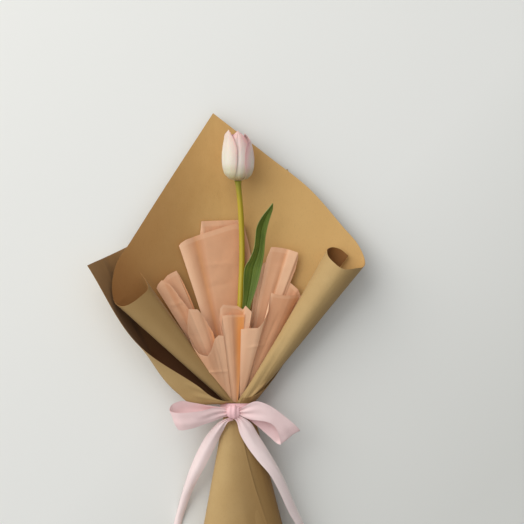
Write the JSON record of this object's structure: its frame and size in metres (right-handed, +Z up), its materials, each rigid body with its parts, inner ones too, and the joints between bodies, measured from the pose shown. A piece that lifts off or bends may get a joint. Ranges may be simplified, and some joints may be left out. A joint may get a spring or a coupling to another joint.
{
  "type": "wrapped single-flower bouquet",
  "caption": "Single cut tulip in a hand-tied kraft and tissue paper wrap with rolled edges, a conical handle and a ribbon bow.",
  "frame": {"origin": "middle of the footprint, on the table that the bouquet lies on", "axes": "+Y from the handle towards the bloom, +Z up from the table, +X to the right as seen from above"},
  "size_m": [0.3034, 0.5062, 0.0593],
  "materials": {
    "kraft_golden": "uncoated kraft paper, golden brown",
    "kraft_olive": "uncoated kraft paper, olive brown",
    "tissue": "thin translucent peach tissue",
    "stem": "satin yellow-green plant skin",
    "leaf": "satin dark green with fine veins",
    "petal": "soft satin, white flushed with pink",
    "pistil": "matte pale green",
    "anther": "powdery yellow",
    "tube_plastic": "translucent pale green plastic",
    "cap_rubber": "soft green rubber",
    "band_rubber": "natural tan rubber",
    "ribbon_satin": "pale pink satin"
  },
  "bodies": {
    "wrap": {"kraft_inner_sheet": "kraft_golden", "kraft_outer_sheet": "kraft_olive", "tissue_rear": "tissue", "tissue_back": "tissue", "tissue_left_rear": "tissue", "tissue_left": "tissue", "tissue_front_left": "tissue", "tissue_centre": "tissue", "tissue_right_front": "tissue", "tissue_right_low": "tissue", "tissue_right": "tissue", "rubber_band": "band_rubber", "ribbon_band": "ribbon_satin", "ribbon_knot": "ribbon_satin", "ribbon_loop_left": "ribbon_satin", "ribbon_loop_right": "ribbon_satin", "ribbon_tail_left": "ribbon_satin", "ribbon_tail_right": "ribbon_satin"},
    "flower": {"tulip_stem": "stem", "tulip_leaf": "leaf", "tepal_outer_1": "petal", "tepal_outer_2": "petal", "tepal_outer_3": "petal", "tepal_inner_1": "petal", "tepal_inner_2": "petal", "tepal_inner_3": "petal", "pistil": "pistil", "stamen_1": "anther", "stamen_2": "anther", "stamen_3": "anther", "stamen_4": "anther", "stamen_5": "anther", "stamen_6": "anther"},
    "water_tube": {"water_tube": "tube_plastic", "water_tube_cap": "cap_rubber"}
  },
  "joints": [
    {"name": "flower_slide", "type": "slide", "parent": "wrap", "child": "flower", "axis": [0.045, 0.999, 0], "range_m": [0, 0.3]},
    {"name": "water_tube_slide", "type": "slide", "parent": "wrap", "child": "water_tube", "axis": [-0.045, -0.999, 0], "range_m": [0, 0.12]}
  ]
}
